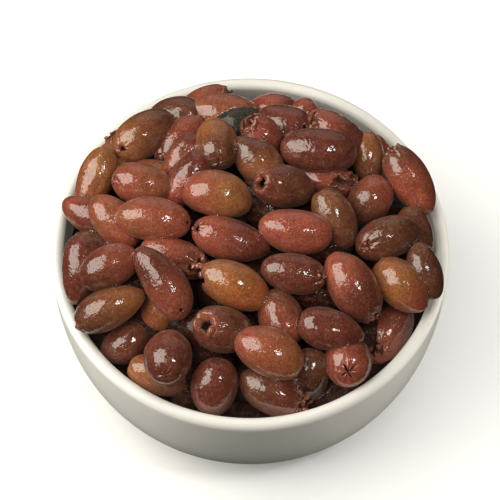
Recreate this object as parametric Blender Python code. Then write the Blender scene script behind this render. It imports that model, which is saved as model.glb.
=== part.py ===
"""A dish of olives: a thick-walled glazed bowl, heaped above its rim with pitted olives.

The bowl is one turned solid.  The olives are one solid too: a core that fills the bowl,
a hidden bed of olives on it, and the olives that show, fused together where they touch.

Metres, +Z up.  The origin is the middle of the foot, and the heap is seen from -Y.
"""

from collections import namedtuple

import bmesh
import bpy
import numpy as np

MM = 0.001

# Bowl
RIM_RADIUS = 75.0 * MM
BODY_DEPTH = 67.5 * MM
FLOOR_RADIUS = 34.0 * MM
WALL_POWER = 2.95
WALL = 5.1 * MM
FOOT_RADIUS = 37.0 * MM
FOOT_INSET = 1.0 * MM
FOOT_HEIGHT = 2.5 * MM
BOWL_SIDES = 48
WALL_STEPS = 12
RIM_HEIGHT = BODY_DEPTH + FOOT_HEIGHT

# The sight line along which the layout is given, from a point above and in front
SIGHT_ANGLE = np.radians(61.9)
SIGHT_RANGE = 750.0 * MM
ACROSS = np.array([1.0, 0.0, 0.0])
UP = np.array([0.0, np.sin(SIGHT_ANGLE), np.cos(SIGHT_ANGLE)])
TOWARD = np.array([0.0, -np.cos(SIGHT_ANGLE), np.sin(SIGHT_ANGLE)])
LAYOUT_ZERO = (-0.3 * MM, -1.5 * MM)

# Heap
DOME_TOP = 11.0 * MM
DOME_RADIUS = 190.0 * MM
CLEARANCE = 1.2 * MM
BEADS = 5
CLOSENESS = 0.93
ROUNDS = 80
OLIVE_SIDES, OLIVE_RINGS = 8, 5

# Bed under the olives that show
BED_COUNT = 44
BED_RADIUS = 58.0 * MM
BED_DROP = 12.0 * MM
BED_LENGTH, BED_WIDTH = 24.0 * MM, 15.0 * MM
BED_SIDES, BED_RINGS = 6, 4
CORE_DROP = 13.0 * MM
CORE_GAP = 0.6 * MM
CORE_SIDES = 32
GOLDEN_ANGLE = np.pi * (3 - np.sqrt(5))

Olive = namedtuple("Olive", "across up turn nod length width")

# Millimetres and degrees, in the plane square to the sight line: how far across and up
# the middle lies, how far the long axis is turned from level, and how far its blunt end
# is tipped toward the eye.  The lowest come first, and each lies on those before it.
OLIVES = (
    # deepest, from the back
    Olive(-19, 55, 30, 0, 24, 12),
    Olive(-47, 34, 120, 0, 22, 12),
    Olive(-48, 29, 130, 0, 24, 14),
    Olive(-38, 26, 5, 0, 22, 14),
    Olive(-57, -1, 160, 0, 21, 13),
    Olive(63, 4, 100, 0, 24, 14),
    Olive(25, -17, 170, 0, 24, 14),
    Olive(31, -54, 30, 0, 22, 12),
    Olive(-23, -52, 80, 0, 22, 13),
    Olive(-35, -49, 160, 0, 24, 14),
    Olive(5, 15, 130, 0, 24, 14),
    Olive(-44, -15, 10, 0, 22, 13),
    Olive(28, -1, 20, 0, 22, 12),
    Olive(-17, -34, 120, 0, 23, 13),
    Olive(-33, -23, 60, 20, 23, 14.5),
    Olive(49, 33, 110, 0, 20, 12),
    Olive(19, 47, 60, 20, 20, 13),
    Olive(9, 51, 0, 0, 20, 14),
    Olive(29, 25, 175, 0, 24, 13),
    # lying on those
    Olive(-28, 49, 10, 15, 22, 16),
    Olive(-9.5, 50.5, -8, 0, 26.5, 15.5),
    Olive(-61, 12, -30, 15, 22, 13),
    Olive(-64.5, -9, 85, 0, 26, 14),
    Olive(-48, -36.5, 32, 0, 20, 14.5),
    Olive(-3.5, 43.5, 0, 0, 22, 16),
    Olive(12.5, 46, -10, 15, 22, 16.5),
    Olive(45, 33, 100, 0, 22, 12.5),
    Olive(-28, -3.5, -20, 0, 26, 14),
    Olive(66, -9.5, -75, 0, 22, 13),
    Olive(56, -34, 230, 10, 26, 17),
    Olive(12, -26, 290, 15, 22, 16.5),
    Olive(22, -48, 75, 10, 21, 15.5),
    Olive(-39.5, 42.5, 215, 15, 26, 16),
    Olive(-25.5, 40, 230, 10, 24, 15.5),
    Olive(-57.5, 26, 68, 0, 24.5, 13.5),
    Olive(-50.5, 10, -48, 0, 24, 15),
    Olive(-9.5, -30.5, 165, 25, 23, 17),
    Olive(10, -55.5, -20, 0, 28, 16.5),
    Olive(45, 17.5, 50, 0, 21, 15.5),
    # over those
    Olive(-24.5, 34, 60, 0, 20, 13),
    Olive(5.5, 42, 140, 20, 19, 13),
    Olive(34.5, 41, 145, 0, 30, 15),
    Olive(3, 33, 315, -10, 23, 16),
    Olive(-40, 24, 168, 0, 23, 15.5),
    Olive(-23, 26, 55, 0, 25, 14),
    Olive(32.5, 11, 118, 0, 24, 14),
    Olive(-12.3, 39, 277, 40, 22, 16),
    Olive(-13, -52, 80, 10, 22, 17),
    Olive(-30, -40.5, 250, 60, 23, 18),
    Olive(38.5, -44.5, 270, 75, 22, 17.5),
    Olive(57, -14, 138, -15, 25, 16.5),
    Olive(30.5, -30.5, 165, 0, 25, 15.5),
    Olive(16.5, -9.5, -10, 0, 24, 14.5),
    Olive(61, 25, 122, 0, 28, 15.5),
    Olive(-53, -23.5, 205, 0, 28, 15),
    Olive(-52.5, -7, 25, 0, 24, 15),
    # on top
    Olive(13, 23, 172, 25, 24, 15.5),
    Olive(26, 36.5, -5, 0, 28.5, 17),
    Olive(52.5, 3.8, 198, 10, 25, 15.5),
    Olive(39, -14.5, 303, 0, 28.5, 17.5),
    Olive(17.5, 6.5, -8, 0, 27.5, 16.5),
    Olive(-32.5, -12.5, 305, 0, 31, 15.5),
    Olive(-36, 10.8, -5, 0, 28, 16),
    Olive(7.5, -39, -28, 0, 27.5, 17.5),
    Olive(-5.5, -14, 150, 0, 26.5, 16.5),
    Olive(-7, 3.3, 163, 0, 29.5, 15),
    Olive(-11.7, 19.8, 168, 0, 26, 17),
)


def clear_scene():
    for obj in list(bpy.data.objects):
        bpy.data.objects.remove(obj, do_unlink=True)


def linear(hex_colour):
    """An sRGB colour such as "#D8D2C4" as linear red, green, blue and alpha."""
    values = [int(hex_colour[i:i + 2], 16) / 255 for i in (1, 3, 5)]
    return [v / 12.92 if v <= 0.04045 else ((v + 0.055) / 1.055) ** 2.4 for v in values] + [1.0]


def surface(name, hex_colour, roughness):
    material = bpy.data.materials.new(name)
    material.use_nodes = True
    shader = material.node_tree.nodes["Principled BSDF"]
    shader.inputs["Base Color"].default_value = linear(hex_colour)
    shader.inputs["Roughness"].default_value = roughness
    shader.inputs["Metallic"].default_value = 0.0
    return material


def wall_line(inward, steps):
    """Radii and heights of the wall, from the rim down, moved inward from its outer face.

    The outer face is a superellipse from the rim to the flat floor, and a point moves
    inward along the face's normal.  Heights are measured from the rim."""
    t = np.linspace(0, np.pi / 2, steps)
    out = np.cos(t) ** (2 / WALL_POWER)
    down = np.sin(t) ** (2 / WALL_POWER)
    reach = RIM_RADIUS - FLOOR_RADIUS
    normal = np.stack([out ** (WALL_POWER - 1) / reach, down ** (WALL_POWER - 1) / BODY_DEPTH])
    normal /= np.hypot(*normal)
    radius = FLOOR_RADIUS + reach * out - inward * normal[0]
    height = -BODY_DEPTH * down + inward * normal[1]
    in_lip = height > -WALL / 2
    radius, height = radius[~in_lip], height[~in_lip]
    return np.append(RIM_RADIUS - inward, radius), np.append(-WALL / 2, height)


def lip(steps):
    """The half circle over the wall's top edge, from its inner side to its outer side."""
    t = np.linspace(np.pi, 0, steps + 2)[1:-1]
    half = WALL / 2
    return RIM_RADIUS - half + half * np.cos(t), half * np.sin(t) - half


def turned(name, radius, height, sides):
    """A solid turned about the Z axis from a profile that starts and ends on the axis."""
    mesh = bpy.data.meshes.new(name)
    bm = bmesh.new()
    points = [bm.verts.new((r, 0.0, z)) for r, z in zip(radius, height)]
    edges = [bm.edges.new(pair) for pair in zip(points[:-1], points[1:])]
    bmesh.ops.spin(
        bm, geom=points + edges, cent=(0, 0, 0), axis=(0, 0, 1), angle=2 * np.pi, steps=sides
    )
    bmesh.ops.remove_doubles(bm, verts=bm.verts, dist=1e-6)
    bmesh.ops.recalc_face_normals(bm, faces=bm.faces)
    bm.to_mesh(mesh)
    bm.free()
    obj = bpy.data.objects.new(name, mesh)
    bpy.context.scene.collection.objects.link(obj)
    return obj


def make_bowl(glaze):
    inner_radius, inner_height = wall_line(WALL, WALL_STEPS)
    outer_radius, outer_height = wall_line(0.0, WALL_STEPS)
    lip_radius, lip_height = lip(5)
    above_foot = outer_radius > FOOT_RADIUS
    radius = np.concatenate([
        [0.0], inner_radius[::-1], lip_radius, outer_radius[above_foot],
        [FOOT_RADIUS, FOOT_RADIUS - FOOT_INSET, 0.0],
    ])
    height = np.concatenate([
        [inner_height[-1]], inner_height[::-1], lip_height, outer_height[above_foot],
        [outer_height[-1], -RIM_HEIGHT, -RIM_HEIGHT],
    ])
    bowl = turned("bowl", radius, height + RIM_HEIGHT, BOWL_SIDES)
    bowl.data.materials.append(glaze)
    bowl.data.shade_smooth()
    bowl.data.set_sharp_from_angle(angle=np.radians(40))
    return bowl


def dome_along(points, sight):
    """How far each point moves along its sight line to reach the dome of olive middles."""
    away = points - np.array([0, 0, DOME_TOP - DOME_RADIUS])
    along = (away * sight).sum(1)
    return -along + np.sqrt(DOME_RADIUS**2 - (away**2).sum(1) + along**2)


def short_of_wall(beads, radii, wall):
    """For each olive, how far its worst bead is inside the bowl's wall, and which way is out."""
    r = np.hypot(beads[..., 0], beads[..., 1])
    out = r[..., None] - wall[0]
    rise = beads[..., 2, None] - wall[1]
    nearest = np.hypot(out, rise).argmin(-1)[..., None]
    out, rise = (np.take_along_axis(x, nearest, -1)[..., 0] for x in (out, rise))
    gap = np.hypot(out, rise)
    worst = (radii - gap).argmax(1)
    row = np.arange(len(beads))
    out, rise, gap, r = out[row, worst], rise[row, worst], gap[row, worst], r[row, worst]
    bead = beads[row, worst]
    short = np.maximum(radii[row, worst] + WALL / 2 + CLEARANCE - gap, 0)
    away = np.stack([bead[:, 0] / r * out, bead[:, 1] / r * out, rise], -1) / gap[:, None]
    return short, away, bead[:, 1] < -0.4 * RIM_RADIUS


def contacts(beads, radii):
    """For each pair of olives, how deep their closest beads overlap, and how steeply they lie."""
    count = len(beads)
    points = beads.reshape(-1, 3)
    spread = points[None] - points[:, None]
    apart = np.sqrt((spread**2).sum(-1)) + 1e-9
    sizes = radii.reshape(-1)
    overlap = CLOSENESS * (sizes[:, None] + sizes[None]) - apart
    slope = spread @ TOWARD / apart
    shape = (count, BEADS, count, BEADS)
    overlap, slope = (
        x.reshape(shape).transpose(0, 2, 1, 3).reshape(count, count, -1) for x in (overlap, slope)
    )
    deepest = overlap.argmax(-1)[..., None]
    overlap, slope = (np.take_along_axis(x, deepest, -1)[..., 0] for x in (overlap, slope))
    above = np.triu(np.ones((count, count)), 1) > 0
    return np.where(above & (overlap > 0), overlap * np.maximum(slope, 0.3), 0)


def settled(olives):
    """Middles, long axes, lengths and widths of the olives, once they lie on each other.

    Each olive is a row of beads on a long axis, at its place in the layout.  It may only
    slide along its sight line, growing and shrinking so that it covers the same part of
    the view.  In each round, olives that overlap push each other apart, the later one
    toward the eye, all are drawn a little to the dome, and the bowl pushes back what
    is in its wall: in front it sinks, and elsewhere it rises and leans on the lip."""
    table = np.array(olives, float)
    across, up, length, width = (table[:, [0, 1, 4, 5]] * MM).T
    turn, nod = np.radians(table[:, 2:4]).T
    points = (across + LAYOUT_ZERO[0])[:, None] * ACROSS + (up + LAYOUT_ZERO[1])[:, None] * UP
    axis = (
        (np.cos(nod) * np.cos(turn))[:, None] * ACROSS
        + (np.cos(nod) * np.sin(turn))[:, None] * UP
        + np.sin(nod)[:, None] * TOWARD
    )
    focus = (length**2 - width**2) / 4
    along = np.linspace(-1, 1, BEADS) * (focus / (length / 2))[:, None]
    bead_size = width[:, None] / 2 * np.sqrt(1 - along**2 / focus[:, None])
    eye = SIGHT_RANGE * TOWARD
    sight = eye - points
    sight /= np.linalg.norm(sight, axis=1, keepdims=True)
    wall = wall_line(WALL / 2, 60)
    home = dome_along(points, sight)
    slid = home + 3 * MM * np.linspace(-1, 1, len(table))
    for _ in range(ROUNDS):
        near = 1 - slid[:, None] / SIGHT_RANGE
        beads = eye + near[..., None] * (
            points[:, None] - eye + along[..., None] * axis[:, None]
        )
        short, away, in_front = short_of_wall(beads, near * bead_size, wall)
        beads = beads + (short[:, None] * away)[:, None]
        sink = 2 * np.minimum((away * sight).sum(1), 0)
        push = contacts(beads, near * bead_size)
        slid = slid + 0.2 * (push.sum(0) - push.sum(1)) + 0.05 * (home - slid)
        slid = slid + 0.5 * short * np.where(in_front, sink, 1)
    return beads[:, BEADS // 2], axis, near[:, 0] * length, near[:, 0] * width


def bed():
    """Olives laid out as sunflower seeds under the dome, each turned by the golden angle."""
    i = np.arange(BED_COUNT)
    r = BED_RADIUS * np.sqrt((i + 0.5) / BED_COUNT)
    turn = i * GOLDEN_ANGLE
    top = DOME_TOP - DOME_RADIUS - BED_DROP
    height = top + np.sqrt(DOME_RADIUS**2 - r**2)
    middle = np.stack([r * np.cos(turn), r * np.sin(turn), height], -1)
    axis = np.stack([-np.sin(turn), np.cos(turn), 0 * turn], -1)
    return middle, axis, np.full(BED_COUNT, BED_LENGTH), np.full(BED_COUNT, BED_WIDTH)


def add_olive(collection, middle, axis, length, width, sides, rings):
    """One olive: a ball drawn out along its axis, wider toward the end the axis points to."""
    mesh = bpy.data.meshes.new("olive")
    bm = bmesh.new()
    bmesh.ops.create_uvsphere(bm, u_segments=sides, v_segments=rings, radius=1.0)
    facet = 1 / np.cos(np.pi / sides) ** 0.5
    side = np.cross(axis, (0.0, 0.0, 1.0))
    side /= np.linalg.norm(side)
    frame = np.stack([side, np.cross(axis, side), axis])
    for v in bm.verts:
        taper = 1 + 0.10 * v.co.z
        local = (
            v.co.x * width / 2 * facet * taper,
            v.co.y * width / 2 * facet * taper,
            v.co.z * length / 2,
        )
        v.co = middle + local @ frame
    bmesh.ops.recalc_face_normals(bm, faces=bm.faces)
    bm.to_mesh(mesh)
    bm.free()
    collection.objects.link(bpy.data.objects.new("olive", mesh))


def make_core():
    """The hidden middle of the heap: it fills the bowl up to a low dome."""
    radius, height = wall_line(WALL + CORE_GAP, WALL_STEPS)
    top = DOME_TOP - DOME_RADIUS - CORE_DROP
    edge = radius[0]
    cap_radius = np.linspace(edge, 0, 7)
    cap_height = top + np.sqrt(DOME_RADIUS**2 - cap_radius**2)
    below = height < cap_height[0] - 1 * MM
    radius = np.concatenate([[0.0], radius[below][::-1], cap_radius])
    height = np.concatenate([[height[-1]], height[below][::-1], cap_height])
    return turned("olives", radius, height + RIM_HEIGHT, CORE_SIDES)


def keep_outer_body(mesh):
    """Removes every closed shell but the largest, so that no hollow stays sealed inside."""
    bm = bmesh.new()
    bm.from_mesh(mesh)
    bmesh.ops.triangulate(bm, faces=bm.faces)
    shells = []
    left = set(bm.faces)
    while left:
        shell, edge_of_shell = set(), [left.pop()]
        while edge_of_shell:
            face = edge_of_shell.pop()
            shell.add(face)
            for edge in face.edges:
                for near in edge.link_faces:
                    if near in left:
                        left.remove(near)
                        edge_of_shell.append(near)
        shells.append(shell)
    shells.sort(key=lambda shell: sum(face.calc_area() for face in shell))
    extra = [face for shell in shells[:-1] for face in shell]
    bmesh.ops.delete(bm, geom=extra, context="FACES")
    bm.to_mesh(mesh)
    bm.free()


def make_olives(skin):
    heap = make_core()
    pieces = bpy.data.collections.new("pieces")
    lift = np.array([0, 0, RIM_HEIGHT])
    for middle, axis, length, width in zip(*settled(OLIVES)):
        add_olive(pieces, middle + lift, axis, length, width, OLIVE_SIDES, OLIVE_RINGS)
    for middle, axis, length, width in zip(*bed()):
        add_olive(pieces, middle + lift, axis, length, width, BED_SIDES, BED_RINGS)
    bpy.context.scene.collection.children.link(pieces)
    fuse = heap.modifiers.new("fuse", "BOOLEAN")
    fuse.operation = "UNION"
    fuse.operand_type = "COLLECTION"
    fuse.solver = "EXACT"
    fuse.collection = pieces
    bpy.context.view_layer.objects.active = heap
    bpy.context.view_layer.update()
    fused = bpy.data.meshes.new_from_object(
        heap.evaluated_get(bpy.context.evaluated_depsgraph_get())
    )
    heap.modifiers.clear()
    keep_outer_body(fused)
    heap.data = fused
    for piece in list(pieces.objects):
        bpy.data.objects.remove(piece, do_unlink=True)
    bpy.data.collections.remove(pieces)
    heap.data.materials.clear()
    heap.data.materials.append(skin)
    heap.data.shade_smooth()
    heap.data.set_sharp_from_angle(angle=np.radians(50))
    return heap


def main():
    clear_scene()
    make_bowl(surface("glazed stoneware", "#D8D2C4", 0.25))
    make_olives(surface("olive skin", "#7E4030", 0.3))


main()
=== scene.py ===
"""A dish of pitted olives, dressed: the glazed bowl, the brined olives, and the wet between them.

Run as a script in Blender.  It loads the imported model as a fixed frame, puts a finely
turned bowl and the single olives in the place of its two solids, and sets up the stage.

Metres, +Z up.  The origin is the middle of the foot, and the dish is seen from -Y.
"""

from collections import namedtuple

import bpy
import numpy as np
from bpy.props import FloatProperty, FloatVectorProperty, IntProperty, PointerProperty
from mathutils import Matrix, Vector


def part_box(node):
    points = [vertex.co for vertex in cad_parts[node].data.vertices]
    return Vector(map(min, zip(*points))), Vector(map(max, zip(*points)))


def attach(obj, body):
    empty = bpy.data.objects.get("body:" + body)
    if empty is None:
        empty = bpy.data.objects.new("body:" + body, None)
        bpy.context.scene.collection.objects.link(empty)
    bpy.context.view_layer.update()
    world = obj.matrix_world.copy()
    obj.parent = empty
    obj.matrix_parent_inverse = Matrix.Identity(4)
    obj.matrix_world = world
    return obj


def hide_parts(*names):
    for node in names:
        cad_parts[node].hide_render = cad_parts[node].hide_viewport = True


bl_info = {
    "name": "Dish of Olives",
    "version": (1, 0, 0),
    "blender": (4, 5, 0),
    "location": "3D View > Sidebar > Olives",
    "description": "A glazed bowl heaped with pitted olives in brine",
    "category": "Object",
}

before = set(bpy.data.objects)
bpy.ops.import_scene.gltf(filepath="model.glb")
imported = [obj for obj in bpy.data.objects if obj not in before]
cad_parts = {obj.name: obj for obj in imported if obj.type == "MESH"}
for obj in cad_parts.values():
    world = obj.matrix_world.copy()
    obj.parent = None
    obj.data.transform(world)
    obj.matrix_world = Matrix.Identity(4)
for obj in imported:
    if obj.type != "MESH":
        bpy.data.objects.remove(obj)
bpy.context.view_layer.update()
BOWL_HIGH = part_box("bowl")[1]

MM = 0.001

# Bowl
FLOOR_RADIUS = 34.0 * MM
WALL_POWER = 2.95
WALL = 5.1 * MM
FOOT_RADIUS = 37.0 * MM
FOOT_INSET = 1.0 * MM
FOOT_HEIGHT = 2.5 * MM
RIM_RADIUS = BOWL_HIGH.x
RIM_HEIGHT = BOWL_HIGH.z
BODY_DEPTH = RIM_HEIGHT - FOOT_HEIGHT

# The sight line along which the layout is given, from a point above and in front
SIGHT_ANGLE = np.radians(61.9)
SIGHT_RANGE = 750.0 * MM
ACROSS = np.array([1.0, 0.0, 0.0])
UP = np.array([0.0, np.sin(SIGHT_ANGLE), np.cos(SIGHT_ANGLE)])
TOWARD = np.array([0.0, -np.cos(SIGHT_ANGLE), np.sin(SIGHT_ANGLE)])
LAYOUT_ZERO = (-0.3 * MM, -1.5 * MM)

# Heap
DOME_TOP = 11.0 * MM
DOME_RADIUS = 190.0 * MM
CLEARANCE = 1.2 * MM
BEADS = 5
CLOSENESS = 0.93
ROUNDS = 80
SPREAD = 3.0 * MM
PUSH, PULL, WALL_PUSH = 0.2, 0.05, 0.5
LEAST_SLOPE = 0.3
FRONT = -0.4

# Bed under the olives that show
BED_COUNT = 44
BED_RADIUS = 58.0 * MM
BED_DROP = 12.0 * MM
BED_LENGTH, BED_WIDTH = 24.0 * MM, 15.0 * MM
BED_ROWS, BED_COLUMNS = 16, 24
CORE_DROP = 13.0 * MM
CORE_GAP = 0.6 * MM
CORE_ROWS, CORE_SIDES = 24, 96
GOLDEN_ANGLE = np.pi * (3 - np.sqrt(5))

Olive = namedtuple(
    "Olive", "across up turn nod length width tone far_tone end size lean tip taper",
    defaults=("red", None, "shut", 0.7, 0, 0.3, 0.05),
)

# Millimetres and degrees, in the plane square to the sight line.  First, how far across
# and up the middle lies, how far the long axis is turned from level, how far its pitted
# end is tipped toward the eye, and the size.  Then the skin's tone at the pitted end and
# at the other, which is the same where none is given, how the pitted end is opened, the
# opening's radius, how far it leans from the axis toward the eye, how far the other end
# is drawn out to a tip, and by what share the pitted end is wider than the other.
OLIVES = (
    # deepest, from the back.  Those of the dark tone are painted dark for the shade they lie in
    Olive(-19, 55, 30, 0, 24, 12, "red", None, "torn", 2.0, 20),
    Olive(-47, 34, 120, 0, 22, 12, "red", None, "torn", 2.4, 30),
    Olive(-48, 29, 130, 0, 24, 14, "tan"),
    Olive(-38, 26, 5, 0, 22, 14, "tan", "red"),
    Olive(-57, -1, 160, 0, 21, 13, "brown", "wine"),
    Olive(63, 4, 100, 0, 24, 14, "brown"),
    Olive(25, -17, 170, 0, 24, 14, "dark"),
    Olive(31, -54, 30, 0, 22, 12, "dark"),
    Olive(-23, -52, 80, 0, 22, 13, "dark"),
    Olive(-35, -49, 160, 0, 24, 14, "tan", "brown"),
    Olive(5, 15, 130, 0, 24, 14, "dark"),
    Olive(-44, -15, 10, 0, 22, 13, "dark"),
    Olive(28, -1, 20, 0, 22, 12, "dark"),
    Olive(-17, -34, 120, 0, 23, 13, "dark"),
    Olive(-33, -23, 60, 20, 23, 14.5, "tan", "red"),
    Olive(49, 33, 110, 0, 20, 12, "red"),
    Olive(19, 47, 60, 20, 20, 13, "red", "wine"),
    Olive(9, 51, 0, 0, 20, 14, "wine", "red"),
    Olive(29, 25, -8, 0, 25, 13, "wine", "red", "torn", 3.6, 38),
    # lying on those
    Olive(-28, 49, 10, 15, 22, 16, "brown", "wine"),
    Olive(-9.5, 50.5, -8, 0, 26.5, 15.5, "red", "russet", "torn", 2.6, 25),
    Olive(-61, 12, -30, 15, 22, 13, "wine", "red"),
    Olive(-64.5, -9, 85, 0, 26, 14, "wine", None, "shut", 0.8, 0, 1.0),
    Olive(-48, -36.5, 32, 0, 20, 14.5, "brown", "wine"),
    Olive(-4.5, 45, 5, 0, 24, 17, "black"),
    Olive(12.5, 46, -10, 15, 22, 16.5, "wine", None, "hole", 1.2, 30),
    Olive(45, 33, 100, 0, 22, 12.5, "tan", "brown"),
    Olive(-28, -3.5, -20, 0, 26, 14, "wine", "red", "torn", 3.4, 36),
    Olive(66, -9.5, -75, 0, 22, 13, "brown"),
    Olive(56, -34, 230, 10, 26, 17, "red", "wine", "torn", 2.6, 40),
    Olive(12, -26, 290, 15, 22, 16.5, "red", "brown"),
    # its far end takes the dark tone, a painted shade
    Olive(22, -48, 75, 10, 21, 15.5, "brown", "dark"),
    Olive(-39.5, 42.5, 215, 15, 26, 16, "tan", "brown", "hole", 1.6, 30),
    Olive(-25.5, 40, 230, 10, 24, 15.5, "wine", "red", "torn", 2.4, 30),
    Olive(-57.5, 26, 68, 0, 24.5, 13.5, "tan", "red"),
    Olive(-50.5, 10, -48, 0, 24, 15, "red", "russet"),
    Olive(-9.5, -30.5, 165, 25, 24, 17, "wine", "brown", "hole", 3.7, 30, 0.9, 0.05),
    Olive(10, -55.5, -20, 0, 28, 16.5, "wine", "brown", "torn", 2.8, 30),
    Olive(45, 17.5, 50, 0, 21, 15.5, "red", "brown"),
    # over those
    Olive(-24.5, 34, 60, 0, 20, 13, "wine", "red"),
    Olive(5.5, 42, 140, 20, 19, 13, "red", "wine", "torn", 3.0, 30),
    Olive(34.5, 41, 145, 0, 30, 15, "red", "wine", "torn", 2.0, 30),
    Olive(3, 33, 315, -10, 23, 16, "tan", "brown", "shut", 0.8, 0, 2.0),
    Olive(-40, 24, 168, 0, 23, 15.5, "red", "russet", "torn", 1.3, 18),
    Olive(-23, 26, 55, 0, 25, 14, "wine", "red"),
    Olive(32.5, 11, 118, 0, 24, 14.5, "umber", "brown"),
    Olive(-12.3, 39, 277, 40, 22, 16, "brown", "tan", "cross", 1.25, 2),
    Olive(-13, -52, 80, 10, 22, 17, "wine"),
    Olive(-30, -40.5, 255, 55, 23, 18, "wine", "red", "cross", 0.8, 3),
    Olive(38.5, -44.5, 270, 62, 22, 17.5, "red", "wine", "cross", 1.5, 14),
    Olive(57, -14, 138, -15, 25, 16.5, "tan", "red", "shut", 0.8, 0, 0.9),
    Olive(30.5, -30.5, 165, 0, 25, 15.5, "wine", None, "shut", 0.8, 0, 1.2, 0.1),
    Olive(16.5, -9.5, -10, 0, 24.5, 14.5, "wine", None, "torn", 1.5, 30),
    Olive(61, 25, 122, 0, 28, 15.5, "brown", "red", "torn", 1.9, 16, 1.2),
    Olive(-53, -23.5, 205, 0, 28, 15, "brown", "tan", "torn", 1.2, 15, 1.4, 0.1),
    Olive(-52.5, -7, 205, 0, 24, 15.5, "wine", "red"),
    # on top
    Olive(13, 23, 172, 25, 24, 15.5, "wine", "brown", "hole", 3.0, 14, 0.2, 0.0),
    Olive(26, 36.5, -5, 0, 28.5, 17, "wine", None, "ring", 3.0, 18),
    Olive(52.5, 3.8, 198, 10, 25, 15.5, "wine", "brown", "torn", 1.7, 32),
    Olive(39, -14.5, 303, 0, 28.5, 17.5, "wine", "red", "torn", 1.7, 14, 0.2, 0.08),
    Olive(17.5, 6.5, -8, 0, 27.5, 16.5, "red"),
    Olive(-32.5, -12.5, 305, 0, 31, 15.5, "red", "wine", "hole", 0.9, 36, 0.2, 0.2),
    Olive(-36, 10.8, -5, 0, 28, 16, "red", "russet", "shut", 0.8, 20, 0.2, 0.0),
    Olive(7.5, -39, -28, 0, 27.5, 17.5, "tan", "red"),
    Olive(-5.5, -14, 155, 0, 28, 16.5, "tan", "orange", "hole", 5.0, -8, 0.2, 0.0),
    Olive(-7, 3.3, 163, 0, 29.5, 15.5, "red", "wine", "hole", 1.6, 24, 0.9, 0.08),
    Olive(-11.7, 19.8, 168, 0, 26, 17, "red", "tan", "shut", 0.7, 0, 0.2, 0.0),
)
PIECE_OF_TONE = {
    "red": "red_olives", "russet": "red_olives", "orange": "tan_olives", "tan": "tan_olives",
    "umber": "tan_olives", "brown": "brown_olives", "wine": "wine_olives", "dark": "dark_olives",
    "black": "dark_olives",
}

# How each kind of opened end looks.  First, how far its outline is frayed, and how far it
# is cut to a cross, as shares of its radius.  Then how deep its pit is, in radii, how much
# of its flesh shows, how torn it is, and how far the skin round it is gathered into folds
# and sunk at its edge, in millimetres.
Opening = namedtuple("Opening", "frayed crossed deep fleshy torn gathered sunk")
OPENINGS = {
    "shut": Opening(0.1, 0, 0.4, 1.0, 0.0, 0.05, 0.5),
    # closed by a plug of skin, with a groove round it
    "ring": Opening(0.05, 0, 0.0, 0.0, 0.0, 0.0, 0.15),
    "hole": Opening(1.0, 0, 1.7, 1.0, 0.2, 0.15, 0.1),
    "cross": Opening(0.5, 1, 1.5, 1.0, 0.1, 0.3, 0.35),
    "torn": Opening(1.0, 0, 0.8, 0.72, 1.0, 0.2, 0.1),
}
PIT_RINGS = 8
FUNNEL = 0.48
ASIDE = 0.3
NEARLY_SHUT = 0.98

# Skin of an olive.  It is grown by a share, so that its neighbours press into it.  The
# lumps are given by how many waves there are, how slow and fast they run, and how high
# they are, and the dents by how wide they are, in shares of the way round, and how deep.
GROWN = 1.03
LUMPS = ((6, 1.5, 4.0, 0.33 * MM), (10, 7.0, 14.0, 0.07 * MM))
DENTS = 3
DENT_REACH = (0.18, 0.5)
DENT_DEPTH = (-0.1, 0.6)
BEND = 0.7 * MM
FRAY = 0.24
PUCKER = 0.16 * MM
TORN_RELIEF = 0.6 * MM
GROOVE = 0.3 * MM

# Shreds of flesh: how many hang on an opened end of each kind
SHREDS = {"torn": 7, "hole": 1}
SHRED_ROWS, SHRED_COLUMNS = 14, 18

# Brine in the creases
BRINE_SEED = 11
TOUCHING = 0.5 * MM
CREASE_POINTS = 15
CREASE_ROUNDS = 12
CREASE_SIDES = 8
CREASE_WANDER = 0.35
SWELL = 0.25 * MM

# Lights.  Each has its name, its direction from the middle of the rim, its distance and
# its side in metres, its tint, what it lights, and whether a glossy skin mirrors it.  The
# bowl is lit more evenly than the olives are, so most lights reach only one of the two.
WHITE, PALE, WARM = (1.0, 1.0, 1.0), (1.0, 0.98, 0.94), (1.0, 0.95, 0.86)
ABOVE_LEFT = (-0.69, -0.02, 0.72)
LIGHTS = (
    ("softbox", ABOVE_LEFT, 0.80, 0.78, WARM, "all but the bowl", True),
    ("lamp", (0.36, -0.25, 0.90), 1.00, 0.15, WHITE, "all but the bowl", True),
    ("back", (0.10, 0.93, 0.34), 1.20, 1.20, (1.0, 0.94, 0.86), None, True),
    ("bowl softbox", ABOVE_LEFT, 0.80, 0.78, PALE, "bowl alone", True),
    ("left", (-0.97, -0.10, 0.12), 1.20, 1.00, PALE, "bowl alone", False),
    ("right", (0.97, -0.14, 0.05), 1.20, 1.00, PALE, "bowl alone", False),
    ("top", (0.0, 0.35, 0.94), 1.20, 1.00, PALE, "bowl alone", False),
    ("inside", (0.0, -0.05, 1.0), 0.075, 0.08, PALE, "bowl alone", False),
    ("overhead", (0.0, 0.0, 1.0), 1.50, 2.00, WHITE, "floor alone", False),
    ("front", (-0.10, -0.47, 0.88), 1.10, 0.90, WHITE, "all but the bowl", False),
)
# The heap casts no shade from these on the bowl's inner wall
PAST_THE_HEAP = ("top", "inside")
BOWL_SOFTBOX_SHARE = 0.9
GLOW_BELOW, GLOW_ABOVE = 0.03, 0.145
FLOOR_HALF = 3.0
LENS = 143.9
LENS_SHIFT = (0.0004, -0.0116)


def linear(hex_colour):
    """An sRGB colour such as "#D8D2C4" as linear red, green, blue and alpha."""
    values = [int(hex_colour[i:i + 2], 16) / 255 for i in (1, 3, 5)]
    return [v / 12.92 if v <= 0.04045 else ((v + 0.055) / 1.055) ** 2.4 for v in values] + [1.0]


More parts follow.
